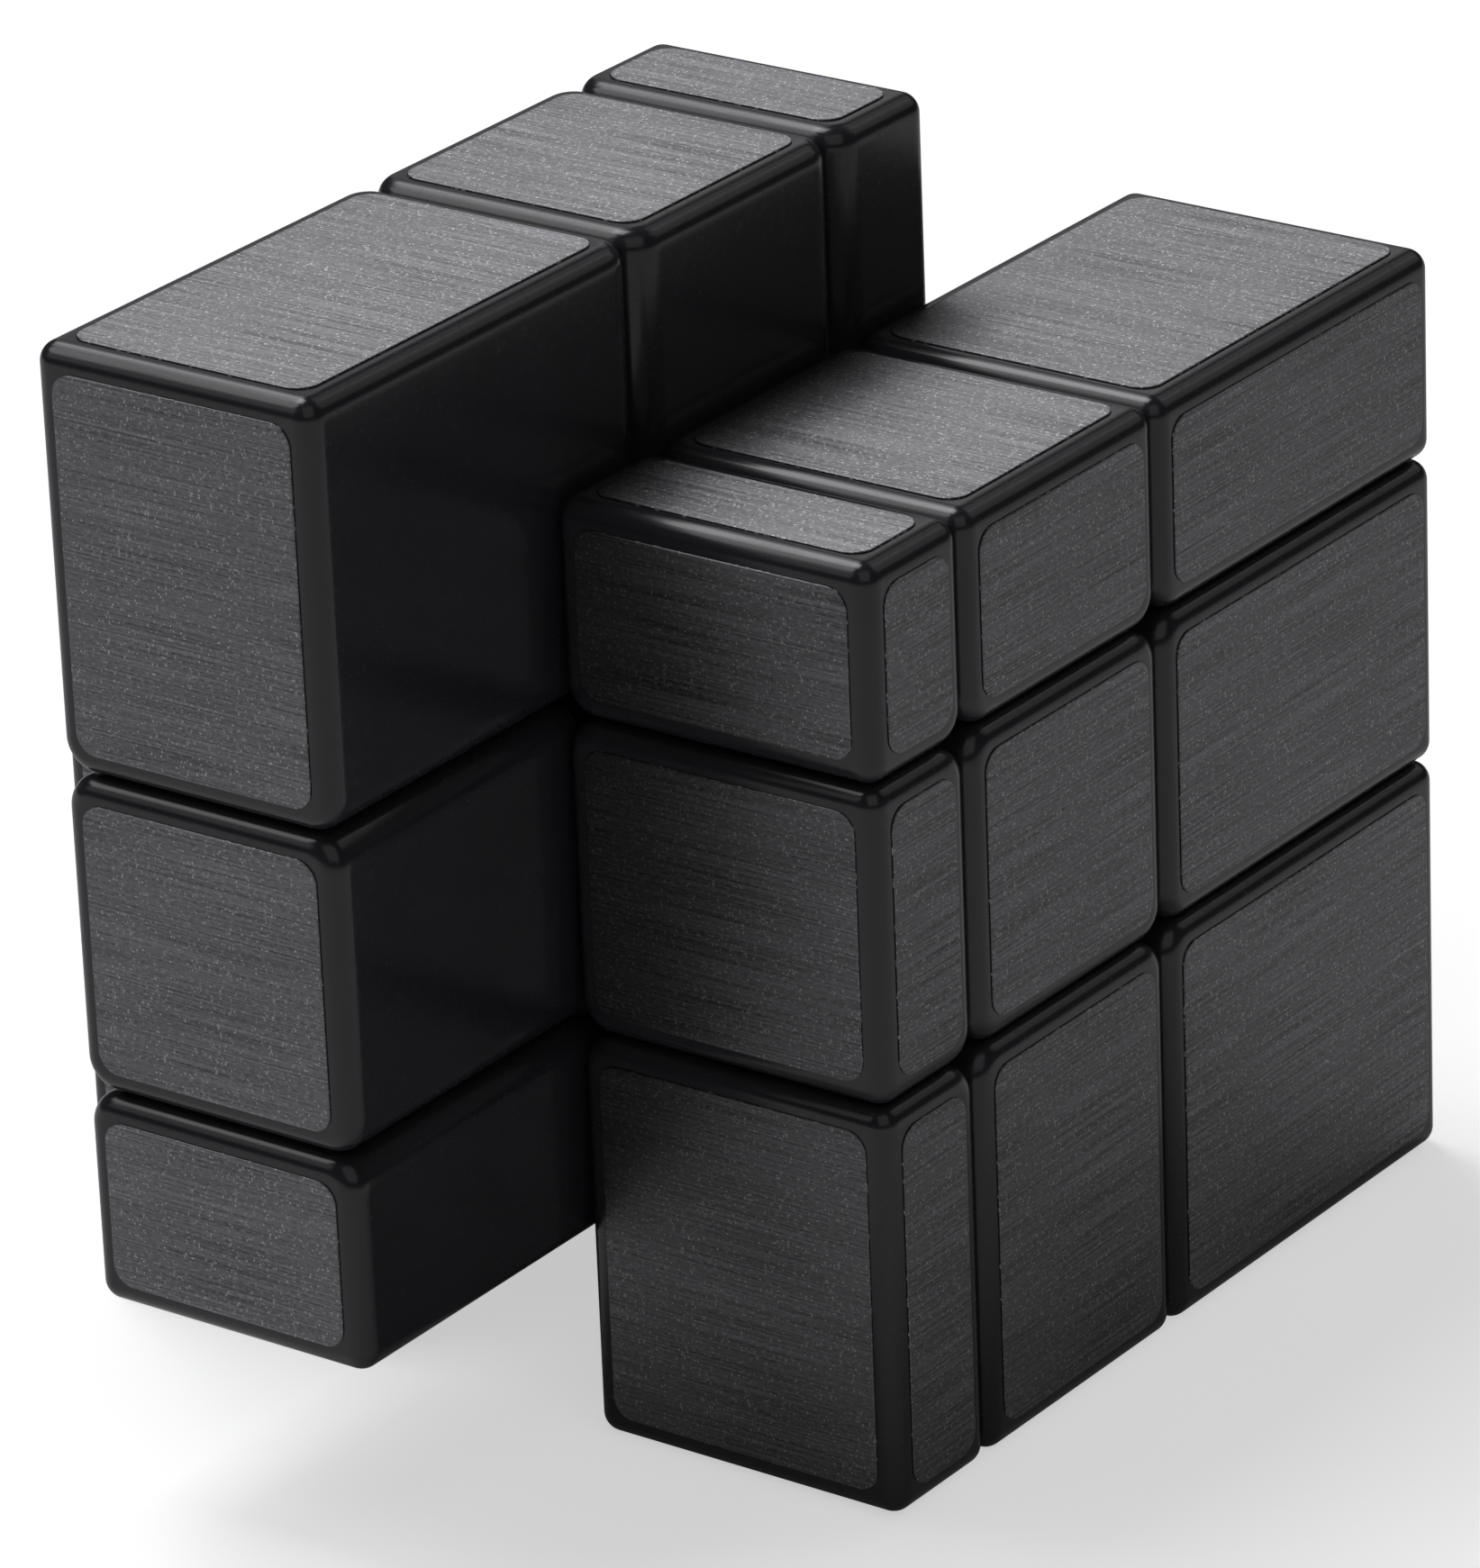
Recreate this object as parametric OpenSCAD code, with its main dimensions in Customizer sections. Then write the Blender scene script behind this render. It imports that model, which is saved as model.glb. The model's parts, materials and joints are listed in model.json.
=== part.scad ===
// Mirror block cube: a 3 x 3 x 3 turning puzzle whose layers all differ in thickness.
// It stands on its lowest face with its middle slice turned half a turn.
// +X points right, +Y back and +Z up. The origin is below the middle of the whole object.

/* [Solved cube] */
// Side of the cube when solved, over its stickers
cube_w = 57; // [55:0.5:60]
// Width of the layer in the middle, the same along all three axes
mid_w = 19; // [18.5:0.5:20]
// Thickness of the outer layer on the left, before the slice is turned
left_t = 9; // [9:0.5:26]
// Thickness of the outer layer at the front
front_t = 21; // [9:0.5:26]
// Thickness of the outer layer on top, before the slice is turned
top_t = 13; // [9:0.5:26]
// Turn of the middle slice about the front-to-back axis
slice_turn = 180; // [0, 180]

/* [Cubies] */
// Radius of the rounded edges round every outer face
edge_r = 1.2; // [0.8:0.1:1.6]
// Radius of the rounded edges where two cuts meet
cut_edge_r = 2; // [0.8:0.1:2.4]
// Wall of the hollow caps
wall = 1.4; // [1:0.1:2]
// Gap between two layers
layer_gap = 0.16; // [0.1:0.02:0.3]

/* [Stickers] */
// Thickness of a sticker
sticker_t = 0.1; // [0.1:0.05:0.3]
// Bare border from a sticker's edge to the side of its cubie
border = 1.4; // [1.2:0.1:2.5]
// Radius of a sticker's corners
sticker_r = 1.3; // [0.5:0.1:2.5]

/* [Mechanism] */
// Half the width of the core and of the stalks of the centres
stalk = 5.5; // [5:0.1:6]
// Radius of the disc with which an outer layer reaches in under the slice beside it
under_r = 16.5; // [16:0.1:16.8]
// Slack on each face of the feet
slack = 0.15; // [0.1:0.05:0.2]
// Radius of the ball on which the corner caps sit
corner_seat_r = 20; // [19.5:0.5:21]
// Radius of the barrel on which the edge caps sit
edge_seat_r = 18; // [17.5:0.5:18]
// Height above the core's centre at which the centre caps sit
cap_seat = 17; // [16.9:0.1:17.2]
// Glue line between a cap and its foot
glue = 0.05; // [0.02:0.01:0.1]

/* [Screws and springs] */
// Radius of a screw's shank
screw_r = 1.25; // [1:0.05:1.4]
// Radius of a screw's head
head_r = 2.5; // [2:0.1:2.8]
// Height of a screw's head
head_h = 1.6; // [1.2:0.1:1.8]
// Distance from the core's centre to the top of a screw's head
head_top = 16.2; // [15.5:0.1:16.4]
// Radius of a washer
washer_r = 3.2; // [2.8:0.1:3.4]
// Thickness of a washer
washer_t = 0.4; // [0.3:0.1:0.6]
// Radius of the well that holds a spring
well_r = 3.7; // [3.5:0.1:3.9]
// Distance from the core's centre to the floor of the well
well_floor = 8; // [7.5:0.1:9]
// Mean radius of a spring's coil
coil_r = 2.5; // [2.3:0.1:2.8]
// Radius of a spring's wire
wire_r = 0.3; // [0.2:0.05:0.35]

/* [Hidden] */
$fn = 64;
black = [0.08, 0.08, 0.09];
brushed_grey = [0.42, 0.42, 0.44];
milk_white = [0.86, 0.86, 0.84];
steel = [0.72, 0.73, 0.75];

X = 0;
Y = 1;
Z = 2;
sides = [-1, 1];
places = [-1, 0, 1];
cut = mid_w / 2;
gap = layer_gap / 2;
beyond = 100;
bore_slack = 0.08;
spring_slack = 0.02;
coil_turns = 4.5;
coil_steps = 9;
wire_sides = 5;
socket_end = 1.9;
core_ball_r = 7.4;
slot_w = 0.8;
slot_depth = 0.9;
slot_l = 1.3 * head_r;
lowest_hollow = 3 * wall;
// How far a cutting tool reaches past what it cuts
past = 1;

// Thickness of an outer layer of the solved cube, on side s of axis a.
function solved_t(a, s) =
    let (given = [left_t, front_t, top_t][a], given_side = a == Z ? 1 : -1)
    s == given_side ? given : cube_w - mid_w - given;

// Distance from the core's centre to the outer face on side s of axis a, in layer j of the
// front-to-back axis. The turned slice, j = 0, has its left and right and its top and bottom swapped.
function reach(a, s, j) =
    cut + solved_t(a, j == 0 && a != Y && slice_turn == 180 ? -s : s);
function farthest(a, s) = max(reach(a, s, 0), reach(a, s, 1));

core_at = [
    (farthest(X, -1) - farthest(X, 1)) / 2,
    (farthest(Y, -1) - farthest(Y, 1)) / 2,
    farthest(Z, -1)
];

// A cubie is named by its place c = [x, y, z], each -1, 0 or 1.
function low(c, a) =
    c[a] < 0 ? sticker_t - reach(a, -1, c[Y]) : c[a] > 0 ? cut + gap : gap - cut;
function high(c, a) =
    c[a] > 0 ? reach(a, 1, c[Y]) - sticker_t : c[a] < 0 ? -cut - gap : cut - gap;
function lows(c) = [for (a = [X, Y, Z]) low(c, a)];
function highs(c) = [for (a = [X, Y, Z]) high(c, a)];
function outer_faces(c) = abs(c.x) + abs(c.y) + abs(c.z);
function free_axis(c) = c.x == 0 ? X : c.y == 0 ? Y : Z;
function main_axis(c) = c.x != 0 ? X : c.y != 0 ? Y : Z;

function word(c) = str(
    ["front_", "", "back_"][c.y + 1], ["bottom_", "", "top_"][c.z + 1], ["left_", "", "right_"][c.x + 1]);
function cap_name(c) = str(word(c), ["", "centre_cap", "edge", "corner"][outer_faces(c)]);
function base_name(c) = str(word(c), "centre_base");
function layer_name(j) = ["front_layer", "middle_slice", "back_layer"][j + 1];
function feet_name(j, faces) =
    str(["front", "middle", "back"][j + 1], faces == 3 ? "_corner_feet" : "_edge_feet");
function face_name(a, s) =
    [["left", "right"], ["front", "back"], ["bottom", "top"]][a][(s + 1) / 2];
function sticker_name(j, a, s) = str(layer_name(j), "_", face_name(a, s), "_stickers");

cubies = [for (j = places, k = places, i = places) if (outer_faces([i, j, k]) > 0) [i, j, k]];
centres = [for (c = cubies) if (outer_faces(c) == 1) c];
feet_groups = [[-1, 3], [-1, 2], [0, 2], [1, 3], [1, 2]];
// Each layer and the faces of the puzzle that it carries stickers on: [layer, axis, side].
sticker_groups = [
    for (j = places, a = [X, Y, Z], s = sides) if (a != Y || j == s) [j, a, s]
];

// Turns +Z to side s of axis a.
module along(a, s) {
    rotate(a == X ? [0, 90 * s, 0] : a == Y ? [-90 * s, 0, 0] : s > 0 ? [0, 0, 0] : [180, 0, 0])
        children();
}

// The corners of a rectangle, anticlockwise.
corners = [[-1, -1], [1, -1], [1, 1], [-1, 1]];

// A rectangle with a radius for each of its corners.
module rounded_rect(w, d, radii) {
    polygon([
        for (i = [0:3]) let (
            p = corners[i], r = radii[i],
            beside = [p.x * w / 2, p.y * (d / 2 - r)],
            along_side = [p.x * (w / 2 - r), p.y * d / 2]
        )
            each p.x == p.y ? [beside, along_side] : [along_side, beside]
    ]);
    for (i = [0:3]) let (p = corners[i], r = radii[i])
        translate([p.x * (w / 2 - r), p.y * (d / 2 - r)]) circle(r);
}

module prism(w, d, h, radii) {
    linear_extrude(h, center = true) rounded_rect(w, d, radii);
}

function all_corners(r) = [r, r, r, r];

// The radii of the edges of cubie c that cross the plane of axes a and b. The plane's own
// first direction is flip times axis a.
function edge_radii(c, a, b, flip = 1) =
    [for (p = corners) c[a] == flip * p.x || c[b] == p.y ? edge_r : cut_edge_r];

// A box with all its edges rounded: three rounded prisms, one along each axis, where they overlap.
module rounded_block(c) {
    size = highs(c) - lows(c);
    translate((lows(c) + highs(c)) / 2) intersection() {
        prism(size.x, size.y, size.z, edge_radii(c, X, Y));
        rotate([90, 0, 0]) prism(size.x, size.z, size.y, edge_radii(c, X, Z));
        rotate([0, 90, 0]) prism(size.z, size.y, size.x, edge_radii(c, Z, Y, -1));
    }
}

// The space of the outer layer on +Z: all beyond the cut, and a disc under the middle slices.
module outer_space() {
    translate([-beyond / 2, -beyond / 2, cut + gap]) cube([beyond, beyond, beyond / 2]);
    translate([0, 0, stalk + slack]) cylinder(r = under_r - slack, h = cut + past - stalk);
}

// The space of the slice across Z: thin near the axis and full width outside the discs.
module middle_space() {
    cube([beyond, beyond, 2 * (stalk - slack)], center = true);
    difference() {
        cube([beyond, beyond, 2 * (cut - gap)], center = true);
        cylinder(r = under_r + slack, h = 2 * cut, center = true);
    }
}

module layer_space(a, s) {
    if (s == 0) along(a, 1) middle_space();
    else along(a, s) outer_space();
}

// What lies below the cap of cubie c: a ball for a corner, a barrel for an edge, a block for a centre.
module seat(c, grow) {
    if (outer_faces(c) == 3) sphere(corner_seat_r + grow);
    else if (outer_faces(c) == 2)
        along(free_axis(c), 1) cylinder(r = edge_seat_r + grow, h = beyond, center = true);
    else
        along(main_axis(c), c[main_axis(c)])
            translate([-beyond / 2, -beyond / 2, -past])
                cube([beyond, beyond, cap_seat + grow + past]);
}

module inner_space(c) {
    difference() {
        translate(lows(c) + [wall, wall, wall])
            cube(highs(c) - lows(c) - 2 * [wall, wall, wall]);
        seat(c, wall);
    }
}

function cap_height(c) =
    let (a = main_axis(c)) reach(a, c[a], c[Y]) - sticker_t - cap_seat;

module cap(c) {
    color(black) difference() {
        rounded_block(c);
        seat(c, glue);
        if (outer_faces(c) > 1 || cap_height(c) > lowest_hollow) inner_space(c);
    }
}

module foot(c) {
    intersection() {
        layer_space(X, c.x);
        layer_space(Y, c.y);
        layer_space(Z, c.z);
        seat(c, 0);
    }
}

module feet(j, faces) {
    color(black) for (c = cubies) if (c.y == j && outer_faces(c) == faces) foot(c);
}

// A centre's stalk and flange, with the screw's bore and the spring's well.
module centre_base(c) {
    a = main_axis(c);
    color(black) difference() {
        intersection() {
            foot(c);
            along(a, 1) prism(2 * (cut - gap), 2 * (cut - gap), beyond, all_corners(edge_r));
        }
        along(a, c[a]) {
            cylinder(r = screw_r + bore_slack, h = cap_seat);
            translate([0, 0, well_floor]) cylinder(r = well_r, h = cap_seat);
        }
    }
}

module core() {
    color(milk_white) difference() {
        intersection() {
            cube(2 * (stalk - slack), center = true);
            sphere(core_ball_r);
        }
        for (c = centres) along(main_axis(c), c[main_axis(c)])
            translate([0, 0, socket_end]) cylinder(r = screw_r, h = stalk);
    }
}

module screw() {
    difference() {
        union() {
            translate([0, 0, socket_end]) cylinder(r = screw_r, h = head_top - head_h - socket_end);
            translate([0, 0, head_top - head_h]) cylinder(r = head_r, h = head_h);
        }
        for (turn = [0, 90]) rotate(turn)
            translate([0, 0, head_top]) cube([slot_l, slot_w, 2 * slot_depth], center = true);
    }
}

module washer() {
    translate([0, 0, head_top - head_h - washer_t]) difference() {
        cylinder(r = washer_r, h = washer_t);
        translate([0, 0, -past]) cylinder(r = screw_r + bore_slack, h = washer_t + 2 * past);
    }
}

// A wire carried round a helix: rings of points, one after another, closed at both ends.
module spring() {
    z_low = well_floor + wire_r + spring_slack;
    z_high = head_top - head_h - washer_t - wire_r - spring_slack;
    steps = round(coil_turns * coil_steps);
    wire_points = [
        for (i = [0:steps]) let (turn = 360 * i / coil_steps, z = z_low + (z_high - z_low) * i / steps)
            for (j = [0:wire_sides - 1]) let (
                around = 360 * (j + 0.5) / wire_sides,
                out = coil_r + wire_r * cos(around)
            )
                [out * cos(turn), out * sin(turn), z + wire_r * sin(around)]
    ];
    wire_faces = [
        for (i = [0:steps - 1], j = [0:wire_sides - 1]) let (
            here = i * wire_sides, ahead = here + wire_sides, next = (j + 1) % wire_sides
        )
            each [
                [here + j, here + next, ahead + next],
                [here + j, ahead + next, ahead + j]
            ]
    ];
    ends = [
        [for (j = [wire_sides - 1:-1:0]) j],
        [for (j = [0:wire_sides - 1]) steps * wire_sides + j]
    ];
    polyhedron(wire_points, concat(wire_faces, ends));
}

module at_centres() {
    for (c = centres) along(main_axis(c), c[main_axis(c)]) children();
}

module sticker(c, a, s) {
    size = highs(c) - lows(c) - 2 * [border, border, border];
    middle = (highs(c) + lows(c)) / 2;
    face = s > 0 ? high(c, a) : low(c, a);
    translate([for (b = [X, Y, Z]) b == a ? face : middle[b]]) along(a, s)
        linear_extrude(sticker_t)
            rounded_rect(
                a == X ? size.z : size.x, a == Y ? size.z : size.y, all_corners(sticker_r)
            );
}

module stickers(j, a, s) {
    color(brushed_grey) for (c = cubies) if (c.y == j && c[a] == s) sticker(c, a, s);
}

translate(core_at) {
    core();
    color(steel) at_centres() screw();  // screws
    color(steel) at_centres() washer();  // washers
    color(steel) at_centres() spring();  // springs
    for (c = centres)
        centre_base(c);
    for (g = feet_groups)
        feet(g[0], g[1]);
    for (c = cubies)
        cap(c);
    for (g = sticker_groups)
        stickers(g[0], g[1], g[2]);
}
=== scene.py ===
"""Mirror block cube: gloss black caps and brushed film stickers on the turning frame from CAD.

Metres throughout, +X right, +Y back, +Z up. The layers turn about Y.
"""

import json
import math

import bpy
import numpy as np
from mathutils import Matrix, Vector


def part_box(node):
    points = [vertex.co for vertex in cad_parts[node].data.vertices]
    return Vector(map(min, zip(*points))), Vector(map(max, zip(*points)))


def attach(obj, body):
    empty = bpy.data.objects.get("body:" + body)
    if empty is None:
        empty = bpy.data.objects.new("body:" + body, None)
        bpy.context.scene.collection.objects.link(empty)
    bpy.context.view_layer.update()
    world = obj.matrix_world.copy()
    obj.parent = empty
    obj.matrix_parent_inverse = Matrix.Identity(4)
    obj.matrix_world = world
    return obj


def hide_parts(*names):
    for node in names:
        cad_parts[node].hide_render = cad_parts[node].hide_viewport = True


bl_info = {
    "name": "Mirror block cube",
    "version": (1, 0, 0),
    "blender": (4, 5, 0),
    "location": "3D Viewport > Sidebar > Mirror cube",
    "description": "Builds a mirror block cube with its stage around a CAD frame",
    "category": "Add Mesh",
}

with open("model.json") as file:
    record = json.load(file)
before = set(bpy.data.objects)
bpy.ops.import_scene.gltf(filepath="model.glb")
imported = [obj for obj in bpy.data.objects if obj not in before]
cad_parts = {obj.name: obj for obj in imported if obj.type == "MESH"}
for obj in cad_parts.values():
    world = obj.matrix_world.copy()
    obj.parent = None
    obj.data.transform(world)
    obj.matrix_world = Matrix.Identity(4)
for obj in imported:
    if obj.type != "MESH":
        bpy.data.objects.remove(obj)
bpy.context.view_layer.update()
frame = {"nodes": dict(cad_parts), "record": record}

MM = 0.001
LAYERS = ("front_layer", "middle_slice", "back_layer")
# A centre cap is made this much too deep, so that the cut leaves its inner face flat.
SPARE_DEPTH = 4 * MM
# Half the length of the barrel, and half the width of the block, that cut the seats.
BARREL_REACH = 60 * MM
BLOCK_REACH = 50 * MM
SEAT_COLUMNS = 96
# Steps in a quarter turn of a sticker's corner.
CORNER_STEPS = 8
# The floor lies this far below the lowest stickers, so that the two don't share a plane.
FLOOR_DROP = 0.05 * MM
# An edge whose faces meet at a larger angle than this is drawn sharp.
SHARP_SEAT = math.radians(35)
SHARP_FILM = math.radians(50)
CORE = np.array([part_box("core")[0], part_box("core")[1]]).mean(0)
SIDE_WORDS = {
    "left": (0, -1),
    "right": (0, 1),
    "front": (1, -1),
    "back": (1, 1),
    "bottom": (2, -1),
    "top": (2, 1),
}


# ---------------------------------------------------------------- values a user may change


def size_mm(label, text, default):
    return bpy.props.FloatProperty(
        name=label, description=text, default=default * MM, min=0.0, unit="LENGTH", precision=5
    )


def offset_mm(label, text, default):
    return bpy.props.FloatProperty(
        name=label, description=text, default=default * MM, unit="LENGTH", precision=5
    )


def hex_text(label, text, default):
    return bpy.props.StringProperty(name=label, description=text, default=default)


def share(label, text, default):
    return bpy.props.FloatProperty(name=label, description=text, default=default, min=0.0, max=1.0)


def strength(label, text, default):
    return bpy.props.FloatProperty(name=label, description=text, default=default, min=0.0)


def turn(label, text, degrees):
    return bpy.props.FloatProperty(
        name=label, description=text, default=math.radians(degrees), subtype="ANGLE"
    )


class CubeShape(bpy.types.PropertyGroup):
    """Sizes of the caps and the stickers."""

    edge_radius: size_mm("Edge radius", "Radius of the edges round every outer face", 1.2)
    cut_edge_radius: size_mm("Cut edge radius", "Radius of the edges where two cuts meet", 2.0)
    corner_seat: size_mm("Corner seat", "Radius of the ball that the corner caps sit on", 20.05)
    edge_seat: size_mm("Edge seat", "Radius of the barrel that the edge caps sit on", 18.05)
    film_corner: size_mm("Sticker corner", "Radius of a sticker's corners", 1.3)
    film_bevel: size_mm("Sticker bevel", "Width of the soft edge round a sticker's top", 0.05)
    fillet_steps: bpy.props.IntProperty(
        name="Fillet steps", description="Steps in half of a rounded edge", default=6, min=2, max=12
    )


class CubeFinish(bpy.types.PropertyGroup):
    """Colours and gloss of the materials, the colours as sRGB hex."""

    abs_black: hex_text("Cap black", "Colour of the caps' plastic", "#2e2e32")
    abs_rough: share("Cap roughness", "Roughness of the caps' polish", 0.2)
    film_dark: hex_text("Film, dark hairlines", "Darker tone of the brushed film", "#5a5a5b")
    film_light: hex_text("Film, light hairlines", "Lighter tone of the brushed film", "#9c9b9e")
    # This colour paints highlights: the glints of the film's flakes and the bright flecks on its cut
    # edge.
    film_flake_glint: hex_text("Film flakes", "Colour of the film's bright flakes", "#e8e6e6")
    film_rough: share("Film roughness", "Roughness of the brushed film", 0.52)
    film_stretch: share("Film anisotropy", "How far the hairlines stretch a highlight", 0.75)
    nylon_white: hex_text("Core white", "Colour of the core's nylon", "#dedcd3")
    zinc: hex_text("Zinc", "Colour of the plated screws and washers", "#c3c6c9")
    wire: hex_text("Spring wire", "Colour of the springs' wire", "#aeb0b4")


class StageSetup(bpy.types.PropertyGroup):
    """Camera, floor and lights."""

    azimuth: turn("Azimuth", "Turn of the camera round the object", -53.545)
    elevation: turn("Elevation", "Height of the camera above the horizon", 23.477)
    roll: turn("Roll", "Turn of the camera about its own axis", -2.338)
    distance: size_mm("Distance", "From the core's centre to the camera", 536.6)
    aim_right: offset_mm("Aim right", "How far right of the core the camera aims", 6.35)
    aim_up: offset_mm("Aim up", "How far above the core the camera aims", -3.51)
    lens: bpy.props.FloatProperty(
        name="Lens", description="Focal length in mm on a 36 mm sensor", default=216.17
    )
    floor_pale: hex_text("Floor", "Colour of the floor", "#f4f4f4")
    floor_lift: strength("Floor lift", "How far the floor is whitened for the camera alone", 0.55)
    backdrop: strength("Backdrop", "How bright the camera sees what lies past the floor", 0.86)
    brightness: strength("Brightness", "Brightness of all the softboxes", 1.0)
    room: strength("Room", "Strength of the light from all round", 0.03)


# ---------------------------------------------------------------- colours and nodes


def linear(hex_colour):
    """sRGB hex to linear RGBA: each channel divided by 12.92 near black, else a power of 2.4."""
    srgb = np.array([int(hex_colour[i : i + 2], 16) / 255 for i in (1, 3, 5)])
    rgb = np.where(srgb <= 0.04045, srgb / 12.92, ((srgb + 0.055) / 1.055) ** 2.4)
    return (*(float(channel) for channel in rgb), 1.0)


def add_node(tree, kind, settings=None, **inputs):
    """Adds a node. Settings are its own properties, and an input takes a value or a socket."""
    made = tree.nodes.new(kind)
    for name, value in (settings or {}).items():
        setattr(made, name, value)
    for name, value in inputs.items():
        key = int(name[1:]) if name[0] == "_" and name[1:].isdigit() else name.replace("_", " ")
        socket = made.inputs[key]
        if isinstance(value, bpy.types.NodeSocket):
            tree.links.new(value, socket)
        else:
            socket.default_value = value
    return made


def new_material(name):
    """A material with an empty tree and its output."""
    made = bpy.data.materials.new(name)
    made.use_nodes = True
    made.node_tree.nodes.clear()
    return made, made.node_tree, made.node_tree.nodes.new("ShaderNodeOutputMaterial")


def two_tones(tree, amount, low, high):
    """A colour between two sRGB hex tones, by an amount from 0 to 1."""
    ramp = add_node(tree, "ShaderNodeMix", {"data_type": "RGBA"}, _0=amount)
    ramp.inputs[6].default_value = linear(low)
    ramp.inputs[7].default_value = linear(high)
    return ramp.outputs[2]


def brushed_film(finish):
    """Metallised polyester film, brushed and tinted grey: long hairlines along one way stretch a
    highlight across them, over a fine glitter of single flakes of the metal whose glints are painted
    highlights in the base colour."""
    material, tree, output = new_material("brushed_metallised_film")
    grain = add_node(tree, "ShaderNodeUVMap", {"uv_map": "grain"}).outputs[0]

    def streaks(across_mm, along_mm, detail):
        """Noise drawn out along the grain."""
        stretched = add_node(
            tree, "ShaderNodeMapping", Vector=grain,
            Scale=(1 / (across_mm * MM), 1 / (along_mm * MM), 1.0),
        )
        return add_node(
            tree, "ShaderNodeTexNoise", {"noise_dimensions": "2D"},
            Vector=stretched.outputs[0], Scale=1.0, Detail=detail, Roughness=0.6,
        ).outputs[0]

    def blend(first, second, weight):
        """first + second * weight, a pattern laid over another."""
        return add_node(tree, "ShaderNodeMath", {"operation": "MULTIPLY_ADD"}, _0=second,
                        _1=weight, _2=first).outputs[0]

    # Real hairlines are about 0.05 mm apart; they are drawn 0.12 mm apart so that they show.
    hairline = streaks(0.12, 12.0, 0.8)
    scuff = streaks(0.12, 0.4, 1.0)
    brush_mark = streaks(1.3, 16.0, 2.0)
    tone = blend(blend(hairline, scuff, 0.7), brush_mark, 0.3)
    tone = add_node(tree, "ShaderNodeMapRange", Value=tone, From_Min=0.6, From_Max=1.4).outputs[0]
    film = two_tones(tree, tone, finish.film_dark, finish.film_light)

    # Flakes lie about 0.14 mm apart. Most are turned away and dull, and a few shine: that shine is a
    # painted highlight, a lighter base colour under any lamp.
    cells = add_node(tree, "ShaderNodeTexVoronoi", {"voronoi_dimensions": "2D"}, Vector=grain,
                     Scale=1 / (0.14 * MM))
    chance = add_node(tree, "ShaderNodeSeparateColor", Color=cells.outputs["Color"]).outputs[0]
    shine = add_node(tree, "ShaderNodeMath", {"operation": "POWER"}, _0=chance, _1=12.0).outputs[0]
    dot = add_node(tree, "ShaderNodeMapRange", Value=cells.outputs["Distance"], From_Min=0.25,
                   From_Max=0.6, To_Min=0.75, To_Max=0.0).outputs[0]
    # Painted glint: the few shining flakes are lightened in the base colour.
    flake_glint = add_node(tree, "ShaderNodeMath", {"operation": "MULTIPLY"}, _0=dot, _1=shine).outputs[0]
    colour = add_node(tree, "ShaderNodeMix", {"data_type": "RGBA"}, _0=flake_glint, _6=film)
    colour.inputs[7].default_value = linear(finish.film_flake_glint)

    rough = add_node(tree, "ShaderNodeMapRange", Value=tone, To_Min=finish.film_rough - 0.05,
                     To_Max=finish.film_rough + 0.05)
    relief = add_node(tree, "ShaderNodeBump", Strength=0.3, Distance=0.015 * MM, Height=tone)
    across = add_node(tree, "ShaderNodeTangent", {"direction_type": "UV_MAP", "uv_map": "grain"})
    shader = add_node(
        tree, "ShaderNodeBsdfPrincipled", Base_Color=colour.outputs[2], Metallic=1.0,
        Roughness=rough.outputs[0], Anisotropic=finish.film_stretch, Normal=relief.outputs[0],
        Tangent=across.outputs[0],
    )
    tree.links.new(shader.outputs[0], output.inputs[0])
    return material


def film_edge(finish):
    """The cut edge of the film and its glue, painted near black as shade so that it draws a thin dark
    line round the sticker, with painted highlights here and there in the flakes' colour."""
    material, tree, output = new_material("film_cut_edge_painted_shade_glint")
    place = add_node(tree, "ShaderNodeTexCoord").outputs["Object"]
    ragged = add_node(tree, "ShaderNodeTexNoise", Vector=place, Scale=1 / (0.4 * MM), Detail=2.0)
    edge_glint = add_node(tree, "ShaderNodeMapRange", Value=ragged.outputs[0], From_Min=0.6,
                    From_Max=0.68)
    # The near black is painted shade, and the noise flecks in the flakes' colour are painted highlights.
    shader = add_node(
        tree, "ShaderNodeBsdfPrincipled", Roughness=0.55,
        Base_Color=two_tones(tree, edge_glint.outputs[0], "#08080a", finish.film_flake_glint),
    )
    tree.links.new(shader.outputs[0], output.inputs[0])
    return material


def moulded_abs(finish):
    """Injection-moulded ABS with a polished skin: clear reflections that ripple slightly, under
    faint handling scratches."""
    material, tree, output = new_material("moulded_gloss_abs")
    place = add_node(tree, "ShaderNodeTexCoord").outputs["Object"]
    ripple = add_node(tree, "ShaderNodeTexNoise", Vector=place, Scale=1 / (7 * MM), Detail=1.0)
    skin = add_node(tree, "ShaderNodeTexNoise", Vector=place, Scale=1 / (0.5 * MM), Detail=2.0)
    drawn_out = add_node(tree, "ShaderNodeMapping", Vector=place, Rotation=(0.5, 0.8, 0.3),
                         Scale=(1 / (0.35 * MM), 1 / (9 * MM), 1 / (0.35 * MM)))
    scratch = add_node(tree, "ShaderNodeTexNoise", Vector=drawn_out.outputs[0], Scale=1.0,
                       Detail=2.0)
    smear = add_node(tree, "ShaderNodeMapRange", Value=scratch.outputs[0], From_Min=0.55,
                     From_Max=0.8, To_Min=finish.abs_rough, To_Max=finish.abs_rough + 0.14)
    sink = add_node(tree, "ShaderNodeBump", Strength=0.5, Distance=0.06 * MM,
                    Height=ripple.outputs[0])
    relief = add_node(tree, "ShaderNodeBump", Strength=0.1, Distance=0.004 * MM,
                      Height=skin.outputs[0], Normal=sink.outputs[0])
    shader = add_node(
        tree, "ShaderNodeBsdfPrincipled", Roughness=smear.outputs[0], IOR=1.5,
        Base_Color=two_tones(tree, ripple.outputs[0], "#232326", finish.abs_black),
        Normal=relief.outputs[0],
    )
    tree.links.new(shader.outputs[0], output.inputs[0])
    return material


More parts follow.
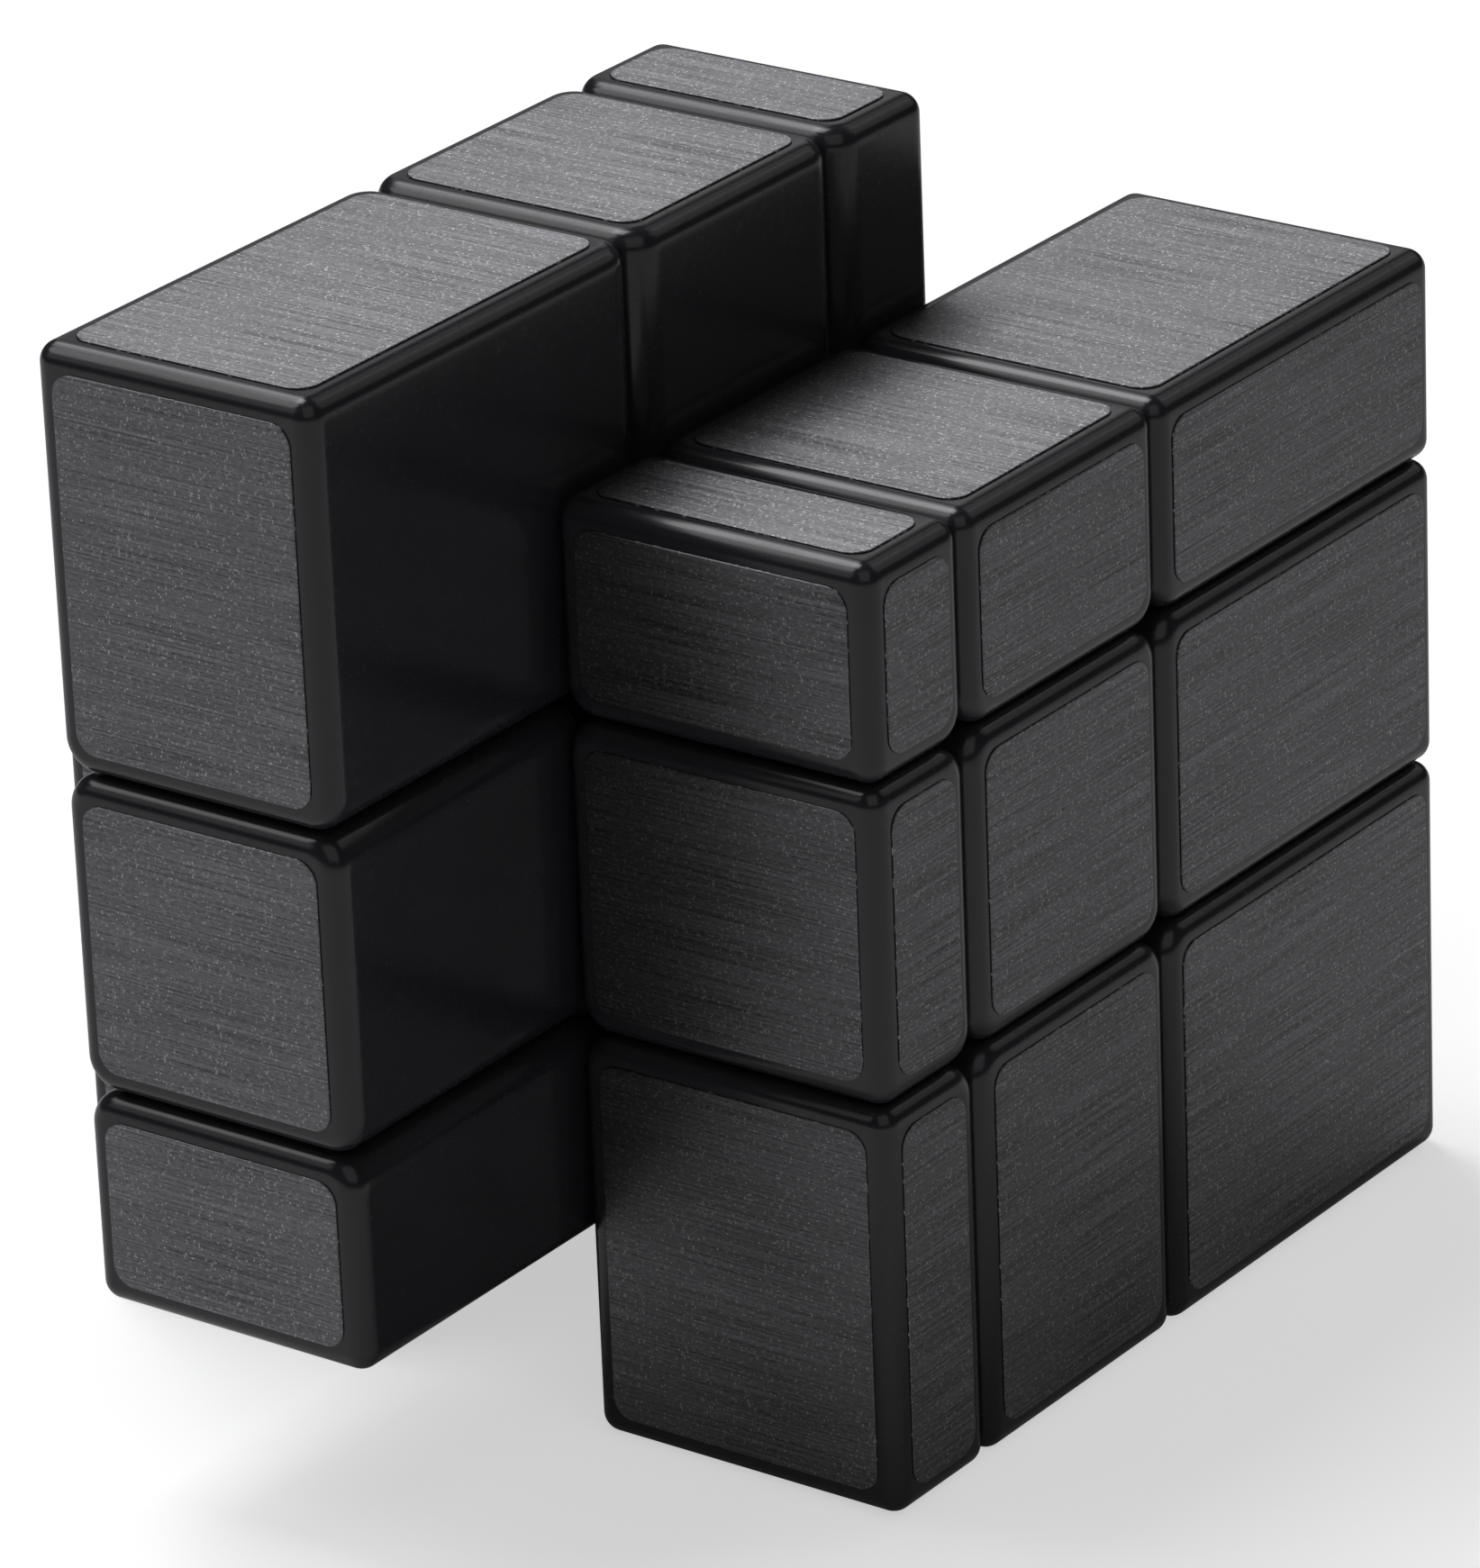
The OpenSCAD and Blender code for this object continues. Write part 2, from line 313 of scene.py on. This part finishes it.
def plain_moulding(name, low, high, rough, grain_mm, metal=0.0, ior=1.5):
    """A moulded or plated finish: two tones and a roughness that vary over a grain."""
    material, tree, output = new_material(name)
    place = add_node(tree, "ShaderNodeTexCoord").outputs["Object"]
    grain = add_node(tree, "ShaderNodeTexNoise", Vector=place, Scale=1 / (grain_mm * MM), Detail=4.0)
    sheen = add_node(tree, "ShaderNodeMapRange", Value=grain.outputs[0], To_Min=rough - 0.08,
                     To_Max=rough + 0.08)
    relief = add_node(tree, "ShaderNodeBump", Strength=0.2, Distance=0.01 * MM,
                      Height=grain.outputs[0])
    shader = add_node(
        tree, "ShaderNodeBsdfPrincipled", Metallic=metal, Roughness=sheen.outputs[0], IOR=ior,
        Base_Color=two_tones(tree, grain.outputs[0], low, high), Normal=relief.outputs[0],
    )
    tree.links.new(shader.outputs[0], output.inputs[0])
    return material


# ---------------------------------------------------------------- shapes


def mesh_object(name, points, faces, materials=(), face_material=None, sharp_angle=None):
    """A smooth-shaded object at the origin from points and faces."""
    mesh = bpy.data.meshes.new(name)
    mesh.from_pydata(points.tolist(), [], faces)
    mesh.polygons.foreach_set("use_smooth", np.ones(len(mesh.polygons), bool))
    for material in materials:
        mesh.materials.append(material)
    if face_material is not None:
        mesh.polygons.foreach_set("material_index", np.asarray(face_material, np.int32))
    if sharp_angle is not None:
        mesh.set_sharp_from_angle(angle=sharp_angle)
    mesh.update()
    made = bpy.data.objects.new(name, mesh)
    bpy.context.scene.collection.objects.link(made)
    return made


def stations(low, high, radius, wide_radius, steps):
    """Places along one side of a rounded box: radius (1 - tan a) from each end for even angles a,
    then even steps to the end of a wide corner and a line just inside it."""
    angles = np.linspace(math.pi / 4, 0, steps + 1)
    fillet = radius * (1 - np.tan(angles))
    flat = np.linspace(radius, wide_radius, 4)[1:] if wide_radius > radius else radius
    half = np.concatenate([fillet, np.atleast_1d(flat), [wide_radius + 0.2 * MM]])
    half = np.unique(np.round(half, 9))
    return np.concatenate([low + half, (high - half)[::-1]])


def widened(points, edge_axis, corner, inward, radius, wide_radius):
    """Widens one edge of a rounded box from radius to wide_radius. Seen along the edge, a point
    that lies an inset t inside the old outline keeps its direction from the wide corner's centre,
    and goes to wide_radius - t from that centre."""
    u, v = (edge_axis + 1) % 3, (edge_axis + 2) % 3
    centre = corner[[u, v]] + inward[[u, v]] * wide_radius
    reach = (points[:, [u, v]] - centre) * -inward[[u, v]]
    beyond = reach - (wide_radius - radius)
    inset = np.where(
        (beyond > 0).all(1), radius - np.linalg.norm(beyond, axis=1), wide_radius - reach.max(1)
    )
    length = np.linalg.norm(reach, axis=1)
    inside = (reach >= 0).all(1) & (length > 0)
    scale = np.ones(len(points))
    scale[inside] = (wide_radius - inset[inside]) / length[inside]
    moved = points.copy()
    moved[:, [u, v]] = centre - inward[[u, v]] * reach * scale[:, None]
    return moved


def rounded_box(low, high, radius, steps, wide_radius=0.0):
    """A box whose edges and corners are rounded. A grid lies on each face, and a point p of it
    goes to q + radius (p - q) / |p - q|, where q is p clamped to the box shrunk by the radius."""
    low, high = np.asarray(low, float), np.asarray(high, float)
    wide_radius = max(radius, wide_radius)
    along = [stations(low[a], high[a], radius, wide_radius, steps) for a in range(3)]
    points, faces = [], []
    start = 0
    for axis in range(3):
        u, v = (axis + 1) % 3, (axis + 2) % 3
        for side in (0, 1):
            grid_u, grid_v = np.meshgrid(along[u], along[v], indexing="ij")
            patch = np.empty((grid_u.size, 3))
            patch[:, axis] = (low, high)[side][axis]
            patch[:, u], patch[:, v] = grid_u.ravel(), grid_v.ravel()
            index = np.arange(grid_u.size).reshape(grid_u.shape) + start
            quads = np.stack(
                [index[:-1, :-1], index[1:, :-1], index[1:, 1:], index[:-1, 1:]], -1
            ).reshape(-1, 4)
            faces.append(quads if side else quads[:, ::-1])
            points.append(patch)
            start += grid_u.size
    points, faces = np.concatenate(points), np.concatenate(faces)
    inner = np.clip(points, low + radius, high - radius)
    reach = points - inner
    points = inner + radius * reach / np.linalg.norm(reach, axis=1, keepdims=True)
    _, first, back = np.unique(np.round(points / 1e-8), axis=0, return_index=True,
                               return_inverse=True)
    return points[first], back.reshape(-1)[faces]


def ball(centre, radius, rings, columns):
    """Latitude and longitude: radius (sin a cos b, sin a sin b, cos a), closed by two poles."""
    a, b = np.meshgrid(
        np.linspace(0, math.pi, rings + 1)[1:-1],
        np.linspace(0, 2 * math.pi, columns, endpoint=False), indexing="ij",
    )
    skin = np.stack([np.sin(a) * np.cos(b), np.sin(a) * np.sin(b), np.cos(a)], -1).reshape(-1, 3)
    points = np.concatenate([skin, [[0, 0, 1], [0, 0, -1]]]) * radius + centre
    index = np.arange(len(skin)).reshape(a.shape)
    ahead = np.roll(index, -1, 1)
    quads = np.stack([index[:-1], index[1:], ahead[1:], ahead[:-1]], -1).reshape(-1, 4).tolist()
    north, south = len(skin), len(skin) + 1
    caps = [(north, i, j) for i, j in zip(index[0], ahead[0])]
    caps += [(south, j, i) for i, j in zip(index[-1], ahead[-1])]
    return points, quads + caps


def barrel(centre, radius, half_length, axis, columns):
    """A circle carried along one axis, closed by a flat at each end."""
    b = np.linspace(0, 2 * math.pi, columns, endpoint=False)
    u, v = (axis + 1) % 3, (axis + 2) % 3
    points = np.empty((2 * columns, 3))
    points[:, axis] = np.repeat([-half_length, half_length], columns)
    points[:, u], points[:, v] = radius * np.tile([np.cos(b), np.sin(b)], 2)
    near = np.arange(columns)
    ahead = np.roll(near, -1)
    sides = np.stack([near, ahead, ahead + columns, near + columns], -1).tolist()
    ends = [near[::-1].tolist(), (near + columns).tolist()]
    return points + centre, sides + ends


def cut_away(piece, tool):
    """Takes the tool's volume from the piece, for good."""
    carve = piece.modifiers.new("seat", "BOOLEAN")
    carve.object, carve.solver, carve.operation = tool, "EXACT", "DIFFERENCE"
    graph = bpy.context.evaluated_depsgraph_get()
    carved = bpy.data.meshes.new_from_object(piece.evaluated_get(graph))
    carved.name = piece.name
    piece.modifiers.clear()
    piece.data = carved
    used = tool.data
    bpy.data.objects.remove(tool)
    bpy.data.meshes.remove(used)


def rounded_outline(width, depth, radius, steps):
    """A rectangle with round corners: each corner's centre plus radius (cos a, sin a)."""
    a = np.linspace(0, math.pi / 2, steps + 1)
    turned = a[None, :] + (np.arange(4) * math.pi / 2)[:, None]
    middles = np.array([[1, 1], [-1, 1], [-1, -1], [1, -1]]) * [width / 2 - radius, depth / 2 - radius]
    arcs = radius * np.stack([np.cos(turned), np.sin(turned)], -1)
    return (middles[:, None] + arcs).reshape(-1, 2)


def sticker_plate(low, high, axis, side, grain, corner, bevel, shift):
    """One film: its rounded outline carried up the cut edge, over a small bevel and in to the flat.
    The grain's map has u across the hairlines and v along them, in metres."""
    across = 3 - axis - grain
    middle, size = (low + high) / 2, high - low
    thick = size[axis]
    u_dir, v_dir, out = np.eye(3)[across], np.eye(3)[grain], np.eye(3)[axis] * side
    if np.dot(np.cross(u_dir, v_dir), out) < 0:
        u_dir = -u_dir
    insets = np.array([0, 0, 0.3, 1.0, 2.5]) * bevel
    heights = np.array([0, thick - bevel, thick - 0.3 * bevel, thick, thick])
    rings = [
        rounded_outline(size[across] - 2 * inset, size[grain] - 2 * inset, corner - inset,
                        CORNER_STEPS)
        for inset in insets
    ]
    count = len(rings[0])
    flat = np.concatenate(rings)
    base = middle - out * thick / 2
    points = base + flat[:, :1] * u_dir + flat[:, 1:] * v_dir + np.repeat(heights, count)[:, None] * out
    here = np.arange(count)
    ahead = np.roll(here, -1)
    # The foot and the side wall take the cut edge material, whose near black is painted shade.
    faces, edge = [here[::-1].tolist()], [1]
    for ring in range(len(insets) - 1):
        a, b = ring * count, (ring + 1) * count
        faces += np.stack([here + a, ahead + a, ahead + b, here + b], -1).tolist()
        edge += [1 if ring < 1 else 0] * count
    faces.append((here + (len(insets) - 1) * count).tolist())
    edge.append(0)
    return points, faces, edge, flat + shift


def solid_boxes(node):
    """The lowest and highest corners of the separate solids in a CAD node, in order of place.
    Points are grouped by following shared corners until no label changes."""
    mesh = node.data
    places = np.empty(len(mesh.vertices) * 3)
    mesh.vertices.foreach_get("co", places)
    places = places.reshape(-1, 3)
    edges = np.empty(len(mesh.edges) * 2, np.int64)
    mesh.edges.foreach_get("vertices", edges)
    _, same = np.unique(np.round(places / 1e-6), axis=0, return_inverse=True)
    a, b = same.reshape(-1)[edges.reshape(-1, 2)].T
    label = np.arange(same.max() + 1)
    while True:
        lowest = np.minimum(label[a], label[b])
        renewed = label.copy()
        np.minimum.at(renewed, a, lowest)
        np.minimum.at(renewed, b, lowest)
        if (renewed == label).all():
            break
        label = renewed
    group = label[same.reshape(-1)]
    boxes = [(places[group == g].min(0), places[group == g].max(0)) for g in np.unique(group)]
    return sorted(boxes, key=lambda box: tuple(np.round(box[0] / MM)))


def cap_sides(name):
    """The outer faces of a cap, by the words in its name, as (axis, side)."""
    return [SIDE_WORDS[word] for word in name.split("_") if word in SIDE_WORDS]


def body_of_node(name):
    return next(b for b, names in frame["record"]["behaviour"]["bodies"].items() if name in names)


def build_cap(name, shape, plastic):
    """One cap: a rounded box between the corners of its CAD node, less the seat on its foot."""
    low, high = (np.array(corner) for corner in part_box(name))
    sides = cap_sides(name)
    if len(sides) == 1:
        axis, side = sides[0]
        sill = (low, high)[side < 0][axis]
        (low, high)[side < 0][axis] = sill - side * SPARE_DEPTH
    points, faces = rounded_box(low, high, shape.edge_radius, shape.fillet_steps,
                                shape.cut_edge_radius)
    outer = dict(sides)
    for edge_axis in range(3):
        u, v = (edge_axis + 1) % 3, (edge_axis + 2) % 3
        for inward_u in (-1, 1):
            for inward_v in (-1, 1):
                if outer.get(u) == -inward_u or outer.get(v) == -inward_v:
                    continue
                inward = np.zeros(3)
                inward[u], inward[v] = inward_u, inward_v
                corner = np.where(inward > 0, low, high)
                points = widened(points, edge_axis, corner, inward, shape.edge_radius,
                                 shape.cut_edge_radius)
    piece = mesh_object("shell_" + name, points, faces.tolist(), [plastic])
    if len(sides) == 3:
        tool = ball(CORE, shape.corner_seat, SEAT_COLUMNS // 2, SEAT_COLUMNS)
    elif len(sides) == 2:
        free = 3 - sides[0][0] - sides[1][0]
        tool = barrel(CORE, shape.edge_seat, BARREL_REACH, free, SEAT_COLUMNS)
    else:
        block_low, block_high = CORE - BLOCK_REACH, CORE + BLOCK_REACH
        (block_low, block_high)[side > 0][axis] = sill
        tool = rounded_box(block_low, block_high, 1 * MM, 1)
    tool_faces = tool[1] if isinstance(tool[1], list) else tool[1].tolist()
    cut_away(piece, mesh_object("seat_tool", tool[0], tool_faces))
    piece.data.set_sharp_from_angle(angle=SHARP_SEAT)
    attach(piece, body_of_node(name))
    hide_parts(name)
    return piece


def material_named(name):
    return bpy.data.materials[name]


# ---------------------------------------------------------------- operators


class CUBE_OT_materials(bpy.types.Operator):
    """Make the finishes of the plastic, the film and the metal"""

    bl_idname = "mirror_cube.materials"
    bl_label = "Materials"

    def execute(self, context):
        finish = context.scene.cube_finish
        brushed_film(finish)
        film_edge(finish)
        moulded_abs(finish)
        # Greased ABS of the feet and centres: satin, with a patchy shine from the grease.
        plain_moulding("greased_moulded_abs", "#0d0d0f", "#17171a", 0.32, 1.5)
        # Moulded nylon of the core: milky and matt, with a faint mottle.
        plain_moulding("moulded_nylon", "#cfcdc3", finish.nylon_white, 0.5, 2.0, ior=1.53)
        # Zinc plate on the screws and washers: bright, slightly cloudy.
        plain_moulding("zinc_plated_steel", "#9a9da1", finish.zinc, 0.3, 0.4, metal=1.0)
        # Drawn wire of the springs: fine die lines dull its shine.
        plain_moulding("drawn_spring_wire", "#85878b", finish.wire, 0.26, 0.15, metal=1.0)
        return {"FINISHED"}


class CUBE_OT_caps(bpy.types.Operator):
    """Make the twenty-six gloss caps of one cube"""

    bl_idname = "mirror_cube.caps"
    bl_label = "Caps"

    def execute(self, context):
        plastic = material_named("moulded_gloss_abs")
        names = [name for name in frame["nodes"] if name.endswith(("corner", "edge", "centre_cap"))]
        if not names:
            raise RuntimeError("The frame has no caps.")
        for name in sorted(names):
            build_cap(name, context.scene.cube_shape, plastic)
        return {"FINISHED"}


class CUBE_OT_stickers(bpy.types.Operator):
    """Make the brushed film stickers, a piece for each face of each layer"""

    bl_idname = "mirror_cube.stickers"
    bl_label = "Stickers"

    def execute(self, context):
        shape = context.scene.cube_shape
        materials = [material_named("brushed_metallised_film"), material_named("film_cut_edge_painted_shade_glint")]
        chance = np.random.default_rng(7)
        names = [name for name in frame["nodes"] if name.endswith("_stickers")]
        if not names:
            raise RuntimeError("The frame has no stickers.")
        for node in sorted(names):
            layer = next(word for word in LAYERS if node.startswith(word))
            axis, side = SIDE_WORDS[node.removeprefix(layer + "_").removesuffix("_stickers")]
            grain = 0 if axis == 1 else 1
            points, faces, edges, maps = [], [], [], []
            start = 0
            for low, high in solid_boxes(frame["nodes"][node]):
                made = sticker_plate(low, high, axis, side, grain, shape.film_corner,
                                     shape.film_bevel, chance.uniform(-0.2, 0.2, 2))
                points.append(made[0])
                faces += [[corner + start for corner in face] for face in made[1]]
                edges += made[2]
                maps.append(made[3])
                start += len(made[0])
            piece = mesh_object("film_" + node.removesuffix("_stickers"), np.concatenate(points),
                                faces, materials, edges, SHARP_FILM)
            corners = np.empty(len(piece.data.loops), np.int32)
            piece.data.loops.foreach_get("vertex_index", corners)
            grain_map = piece.data.uv_layers.new(name="grain")
            grain_map.data.foreach_set("uv", np.concatenate(maps)[corners].ravel())
            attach(piece, body_of_node(node))
            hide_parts(node)
        return {"FINISHED"}


class CUBE_OT_mechanism(bpy.types.Operator):
    """Give the core, feet, centres, screws, washers and springs their finishes"""

    bl_idname = "mirror_cube.mechanism"
    bl_label = "Mechanism"

    finishes = {
        "core": "moulded_nylon",
        "screws": "zinc_plated_steel",
        "washers": "zinc_plated_steel",
        "springs": "drawn_spring_wire",
    }

    def execute(self, context):
        for name, node in frame["nodes"].items():
            if node.hide_render:
                continue
            finish = material_named(self.finishes.get(name, "greased_moulded_abs"))
            if not node.material_slots:
                node.data.materials.append(finish)
            for place in node.material_slots:
                place.material = finish
        return {"FINISHED"}


# Name, place from the core in metres, side in metres, how bright it looks, and tint.
SOFTBOXES = (
    ("overhead_softbox", (0.05, 0.38, 1.0), 0.45, 4.8, "#fdfdff"),
    ("back_softbox", (0.2, 0.6, 0.88), 0.4, 2.2, "#fdfdff"),
    ("back_left_softbox", (-0.3, 0.6, 0.8), 0.45, 2.2, "#fdfdff"),
    ("back_right_softbox", (0.42, 0.62, 0.85), 0.35, 1.2, "#fdfdff"),
    ("side_right_softbox", (0.55, 0.6, 0.7), 0.4, 0.28, "#fdfdff"),
    ("low_left_softbox", (-0.65, 0.6, 0.55), 0.45, 0.5, "#fdfdff"),
    ("low_right_softbox", (0.8, 0.65, 0.35), 0.45, 0.25, "#fdfdff"),
    ("right_softbox", (0.82, 0.42, 0.5), 0.3, 0.35, "#ffffff"),
    ("far_right_softbox", (0.9, -0.1, 0.8), 0.5, 0.32, "#ffffff"),
    ("front_right_softbox", (0.8, -0.43, 0.6), 0.5, 0.32, "#ffffff"),
    ("front_left_softbox", (-0.6, -0.8, 0.9), 1.3, 0.36, "#ffffff"),
)


def area_light(name, place, size, glow, colour="#ffffff"):
    """A square soft light that looks at the core. Its power is pi times its area times its glow."""
    lamp = bpy.data.lights.new(name, "AREA")
    lamp.size, lamp.energy, lamp.color = size, glow * math.pi * size**2, linear(colour)[:3]
    made = bpy.data.objects.new(name, lamp)
    bpy.context.scene.collection.objects.link(made)
    made.location = CORE + np.asarray(place)
    made.rotation_mode = "QUATERNION"
    made.rotation_quaternion = Vector(place).to_track_quat("Z", "Y")
    return made


class CUBE_OT_stage(bpy.types.Operator):
    """Set the camera, the pale floor and the soft lights"""

    bl_idname = "mirror_cube.stage"
    bl_label = "Stage"

    def execute(self, context):
        setup = context.scene.cube_stage
        self.camera(context, setup)
        self.floor(setup)
        self.room(context, setup)
        for name, place, size, glow, tint in SOFTBOXES:
            area_light(name, place, size, glow * setup.brightness, tint)
        return {"FINISHED"}

    def camera(self, context, setup):
        """The camera stands back from its aim by the distance, then turns by the roll."""
        a, e = setup.azimuth, setup.elevation
        back = np.array([math.sin(a) * math.cos(e), -math.cos(a) * math.cos(e), math.sin(e)])
        right = np.array([math.cos(a), math.sin(a), 0.0])
        up = np.cross(back, right)
        place = CORE + back * setup.distance + right * setup.aim_right + up * setup.aim_up
        turned_right = math.cos(setup.roll) * right + math.sin(setup.roll) * up
        turned_up = math.cos(setup.roll) * up - math.sin(setup.roll) * right
        lens = bpy.data.cameras.new("camera")
        lens.lens, lens.sensor_width = setup.lens, 36.0
        lens.clip_start, lens.clip_end = 0.05, 50.0
        made = bpy.data.objects.new("camera", lens)
        context.scene.collection.objects.link(made)
        matrix = np.eye(4)
        matrix[:3, 0], matrix[:3, 1], matrix[:3, 2], matrix[:3, 3] = turned_right, turned_up, back, place
        made.matrix_world = Matrix(matrix.tolist())
        context.scene.camera = made

    def floor(self, setup):
        """Painted board, matt and pale, with a faint unevenness."""
        grid = np.linspace(-4.0, 4.0, 9)
        x, y = np.meshgrid(grid, grid, indexing="ij")
        index = np.arange(x.size).reshape(x.shape)
        quads = np.stack([index[:-1, :-1], index[1:, :-1], index[1:, 1:], index[:-1, 1:]], -1)
        points = np.stack([x, y, np.full_like(x, -FLOOR_DROP)], -1).reshape(-1, 3)
        material, tree, output = new_material("painted_board")
        place = add_node(tree, "ShaderNodeTexCoord").outputs["Object"]
        patch = add_node(tree, "ShaderNodeTexNoise", Vector=place, Scale=2.0, Detail=2.0)
        seen = add_node(tree, "ShaderNodeLightPath").outputs["Is Camera Ray"]
        lift = add_node(tree, "ShaderNodeMapRange", Value=seen, To_Max=setup.floor_lift)
        shader = add_node(
            tree, "ShaderNodeBsdfPrincipled", Roughness=0.9, Specular_IOR_Level=0.2,
            Base_Color=two_tones(tree, patch.outputs[0], "#f2f2f2", setup.floor_pale),
            Emission_Color=linear("#ffffff"), Emission_Strength=lift.outputs[0],
        )
        tree.links.new(shader.outputs[0], output.inputs[0])
        mesh_object("floor", points, quads.reshape(-1, 4).tolist(), [material])

    def room(self, context, setup):
        """An even dim light from all round, and pale where the camera looks past the floor."""
        world = bpy.data.worlds.new("room")
        world.use_nodes = True
        tree = world.node_tree
        tree.nodes.clear()
        seen = add_node(tree, "ShaderNodeLightPath").outputs["Is Camera Ray"]
        strength = add_node(tree, "ShaderNodeMapRange", Value=seen, To_Min=setup.room,
                            To_Max=setup.backdrop)
        glow = add_node(tree, "ShaderNodeBackground", Color=linear("#ffffff"),
                        Strength=strength.outputs[0])
        end = tree.nodes.new("ShaderNodeOutputWorld")
        tree.links.new(glow.outputs[0], end.inputs[0])
        context.scene.world = world


class CUBE_PT_panel(bpy.types.Panel):
    """Lists the steps that build the cube and the values behind them"""

    bl_label = "Mirror block cube"
    bl_idname = "CUBE_PT_panel"
    bl_space_type = "VIEW_3D"
    bl_region_type = "UI"
    bl_category = "Mirror cube"

    def draw(self, context):
        for group in (context.scene.cube_shape, context.scene.cube_finish, context.scene.cube_stage):
            box = self.layout.box()
            for name in group.__annotations__:
                box.prop(group, name)
        for step in STEPS:
            self.layout.operator(step.bl_idname)


STEPS = (CUBE_OT_materials, CUBE_OT_caps, CUBE_OT_stickers, CUBE_OT_mechanism, CUBE_OT_stage)
GROUPS = {"cube_shape": CubeShape, "cube_finish": CubeFinish, "cube_stage": StageSetup}


def register():
    for group in (*GROUPS.values(), *STEPS, CUBE_PT_panel):
        bpy.utils.register_class(group)
    for name, group in GROUPS.items():
        setattr(bpy.types.Scene, name, bpy.props.PointerProperty(type=group))


def unregister():
    for name in GROUPS:
        delattr(bpy.types.Scene, name)
    for group in (CUBE_PT_panel, *reversed(STEPS), *GROUPS.values()):
        bpy.utils.unregister_class(group)


def main():
    register()
    bpy.context.scene.view_settings.view_transform = "Standard"
    for step in STEPS:
        family, action = step.bl_idname.split(".")
        getattr(getattr(bpy.ops, family), action)()
    bpy.context.view_layer.update()


if __name__ == "__main__":
    main()
